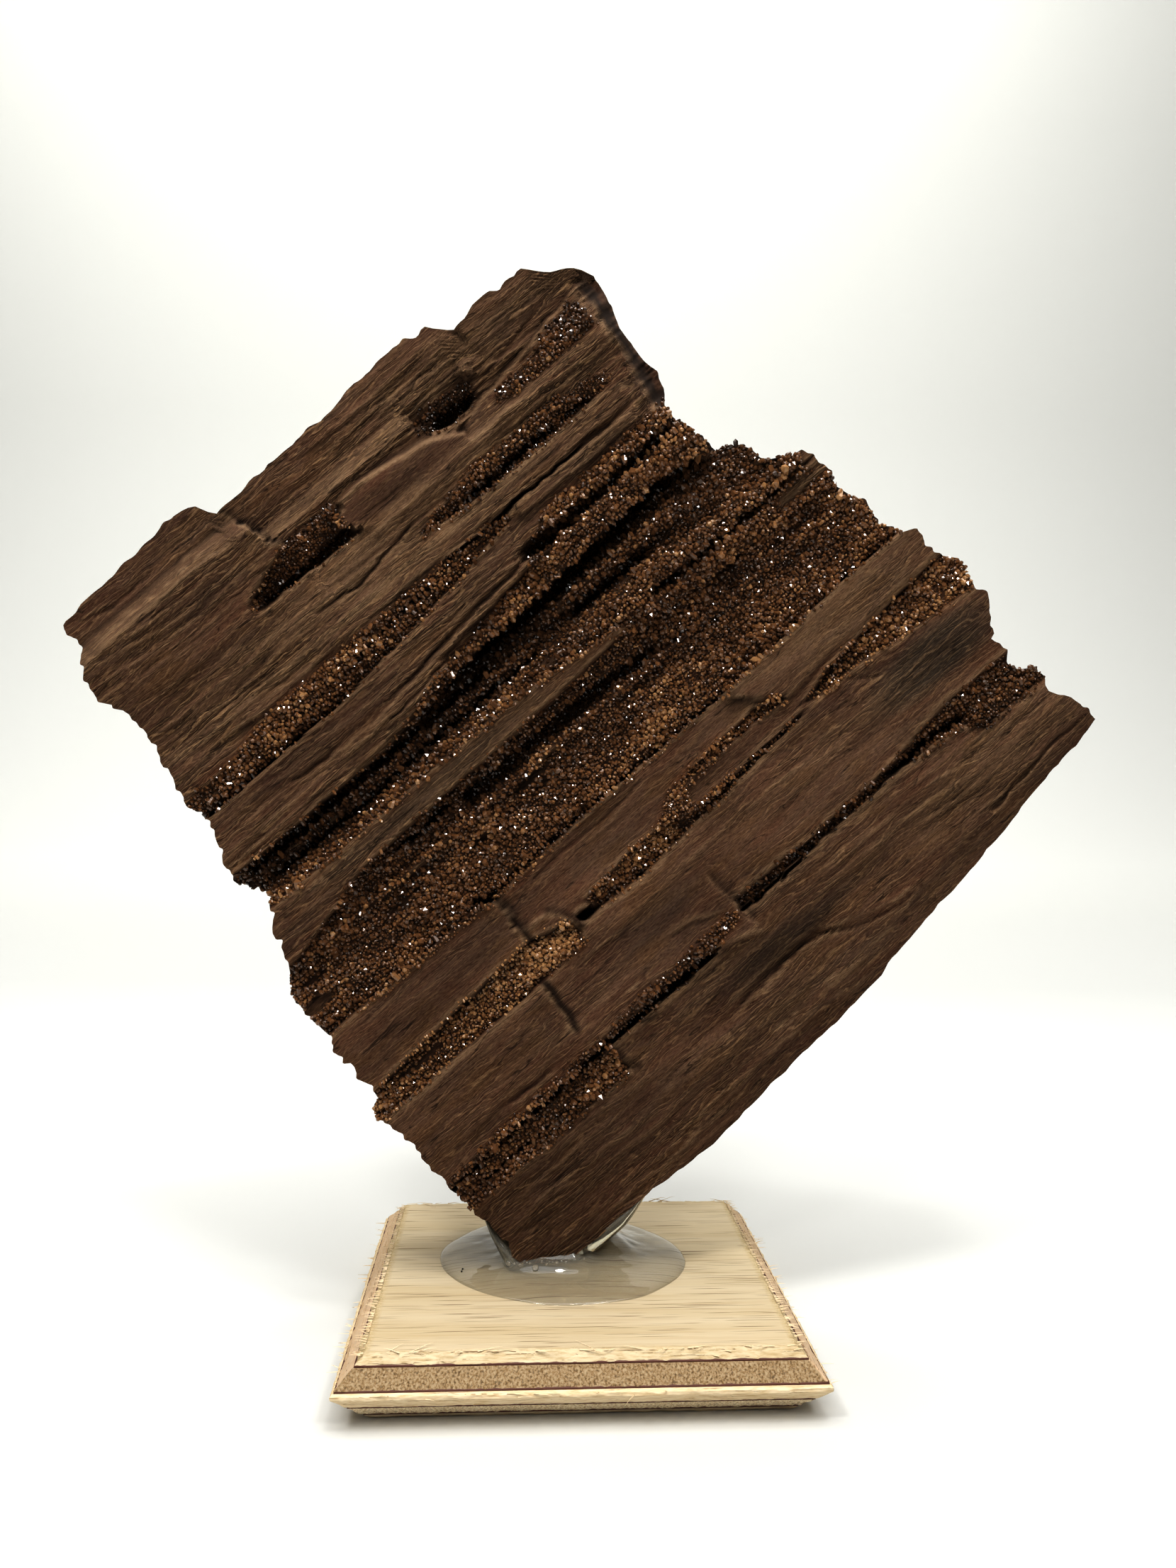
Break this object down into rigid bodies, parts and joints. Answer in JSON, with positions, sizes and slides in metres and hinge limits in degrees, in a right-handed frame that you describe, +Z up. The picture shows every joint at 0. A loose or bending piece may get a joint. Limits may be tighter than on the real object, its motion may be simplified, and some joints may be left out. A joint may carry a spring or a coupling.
{
  "type": "quartz druse on petrified wood",
  "caption": "Dark brown slab of petrified wood with crystal-lined grooves, standing on one corner in clear glue on a bevelled plywood square.",
  "frame": {"origin": "centre of the plywood's flat underside", "axes": "+Z up; the worked face of the stone looks along -Y; X runs across the face to the right"},
  "size_m": [0.1876, 0.0802, 0.1962],
  "materials": {
    "petrified_wood": "rough fibrous fossil wood, dark chocolate brown",
    "quartz": "smoky brown glassy crystals",
    "hot_glue": "clear, slightly milky hot-melt glue, glossy",
    "face_veneer": "pale sanded veneer",
    "cross_veneer": "brown cross veneer, sawn"
  },
  "bodies": {
    "root": {"petrified_wood": "petrified_wood", "quartz_upper_pocket": "quartz", "quartz_crest_pocket": "quartz", "quartz_crest_slope": "quartz", "quartz_upper_groove": "quartz", "quartz_upper_band": "quartz", "quartz_main_hollow": "quartz", "quartz_centre_slope": "quartz", "quartz_left_groove": "quartz", "quartz_middle_groove": "quartz", "quartz_right_groove": "quartz", "quartz_bottom_left": "quartz", "quartz_bottom_right": "quartz", "hot_glue": "hot_glue", "base_top_ply": "face_veneer", "base_upper_cross_ply": "cross_veneer", "base_middle_ply": "face_veneer", "base_lower_cross_ply": "cross_veneer", "base_bottom_ply": "face_veneer"}
  },
  "joints": []
}
